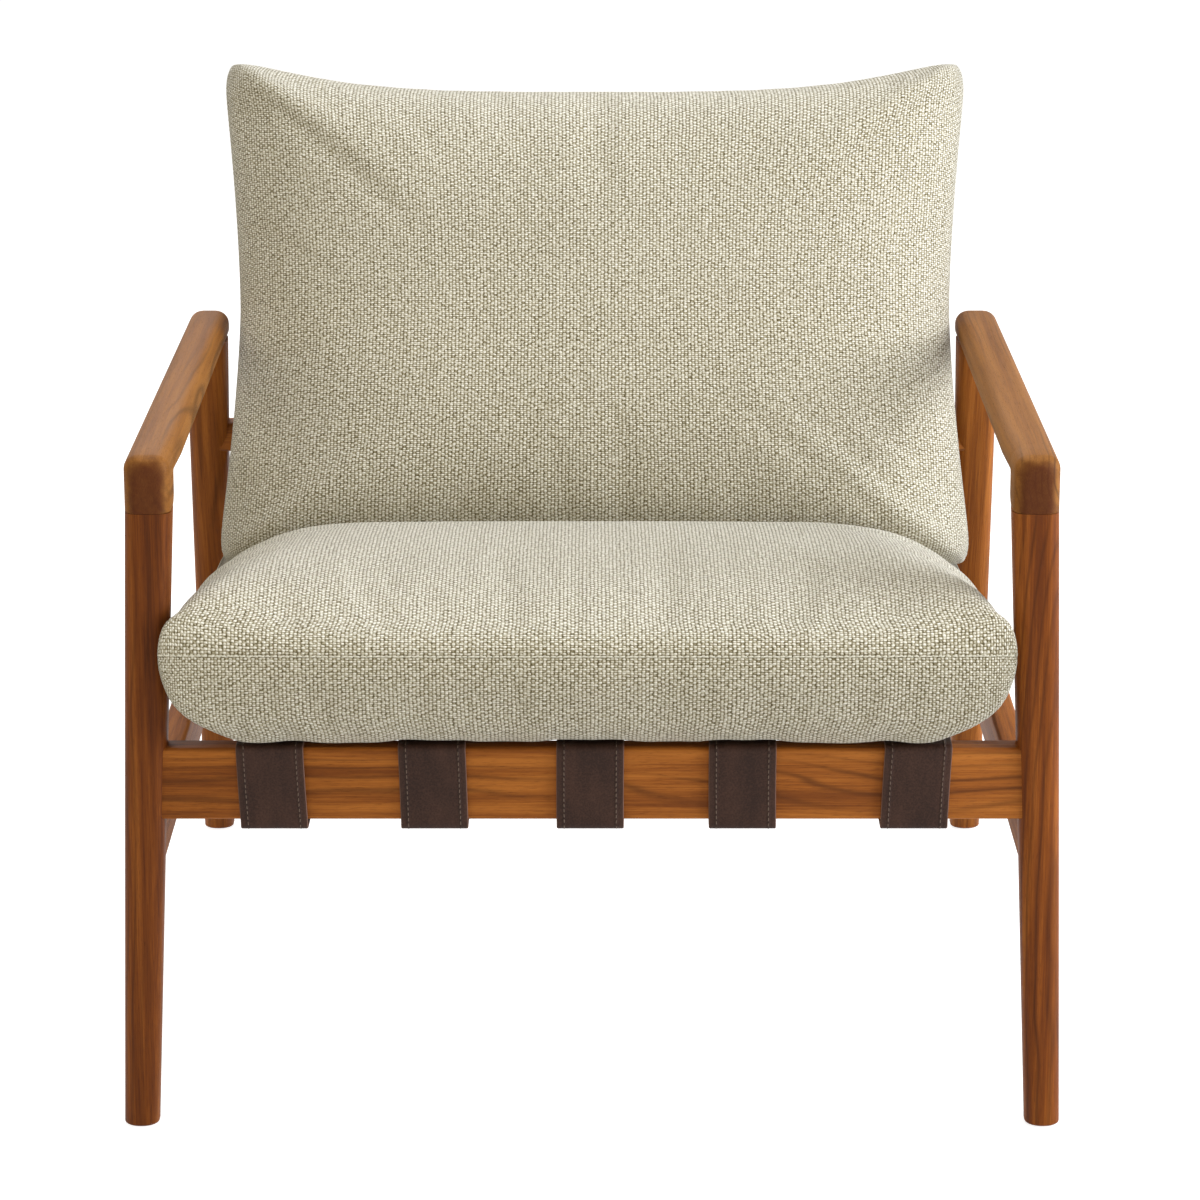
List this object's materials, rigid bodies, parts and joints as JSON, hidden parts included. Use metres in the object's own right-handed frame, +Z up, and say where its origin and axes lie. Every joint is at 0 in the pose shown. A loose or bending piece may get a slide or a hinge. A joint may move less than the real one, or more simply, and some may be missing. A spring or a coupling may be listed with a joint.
{
  "type": "lounge chair",
  "caption": "Open-arm wooden lounge chair with splayed legs, leather straps slung over its rails, and loose woven-fabric seat and back cushions.",
  "frame": {"origin": "on the floor under the middle of the chair's bounding box", "axes": "+Z up; the sitter faces -Y; +X is on the right of someone facing the chair"},
  "size_m": [0.7524, 0.7858, 0.7602],
  "materials": {
    "teak": "oiled satin, warm brown",
    "strap_leather": "pebbled dark brown leather, soft sheen",
    "woven_fabric": "chunky oatmeal plain weave",
    "foam": "cushion filling",
    "zip": "woven zip tape, matte",
    "brass_screw": "aged brass",
    "dowel": "plain hardwood",
    "glide": "moulded nylon"
  },
  "bodies": {
    "frame": {"left_front_leg": "teak", "right_front_leg": "teak", "left_back_leg": "teak", "right_back_leg": "teak", "left_arm": "teak", "right_arm": "teak", "left_side_rail": "teak", "right_side_rail": "teak", "front_rail": "teak", "rear_seat_rail": "teak", "back_cross_rail": "teak", "back_top_rail": "teak", "left_back_post": "teak", "right_back_post": "teak", "seat_strap_1": "strap_leather", "seat_strap_2": "strap_leather", "seat_strap_3": "strap_leather", "seat_strap_4": "strap_leather", "seat_strap_5": "strap_leather", "back_strap_1": "strap_leather", "back_strap_2": "strap_leather", "back_strap_3": "strap_leather", "back_strap_4": "strap_leather", "seat_strap_front_screw_1": "brass_screw", "seat_strap_front_screw_2": "brass_screw", "seat_strap_front_screw_3": "brass_screw", "seat_strap_front_screw_4": "brass_screw", "seat_strap_front_screw_5": "brass_screw", "seat_strap_rear_screw_1": "brass_screw", "seat_strap_rear_screw_2": "brass_screw", "seat_strap_rear_screw_3": "brass_screw", "seat_strap_rear_screw_4": "brass_screw", "seat_strap_rear_screw_5": "brass_screw", "back_strap_lower_screw_1": "brass_screw", "back_strap_lower_screw_2": "brass_screw", "back_strap_lower_screw_3": "brass_screw", "back_strap_lower_screw_4": "brass_screw", "back_strap_upper_screw_1": "brass_screw", "back_strap_upper_screw_2": "brass_screw", "back_strap_upper_screw_3": "brass_screw", "back_strap_upper_screw_4": "brass_screw", "cross_rail_screw_1": "brass_screw", "cross_rail_screw_2": "brass_screw", "top_rail_screw_1": "brass_screw", "top_rail_screw_2": "brass_screw", "left_front_arm_dowel": "dowel", "right_front_arm_dowel": "dowel", "left_back_arm_dowel": "dowel", "right_back_arm_dowel": "dowel", "left_front_glide": "glide", "right_front_glide": "glide", "left_back_glide": "glide", "right_back_glide": "glide"},
    "seat_cushion": {"seat_cushion_cover": "woven_fabric", "seat_cushion_core": "foam", "seat_cushion_zip": "zip"},
    "back_cushion": {"back_cushion_cover": "woven_fabric", "back_cushion_core": "foam", "back_cushion_zip": "zip"}
  },
  "joints": [
    {"name": "seat_cushion_lift", "type": "slide", "parent": "frame", "child": "seat_cushion", "axis": [0, 0, 1], "range_m": [0, 0.32]},
    {"name": "back_cushion_lift", "type": "slide", "parent": "seat_cushion", "child": "back_cushion", "axis": [0, 0, 1], "range_m": [0, 0.24]}
  ]
}
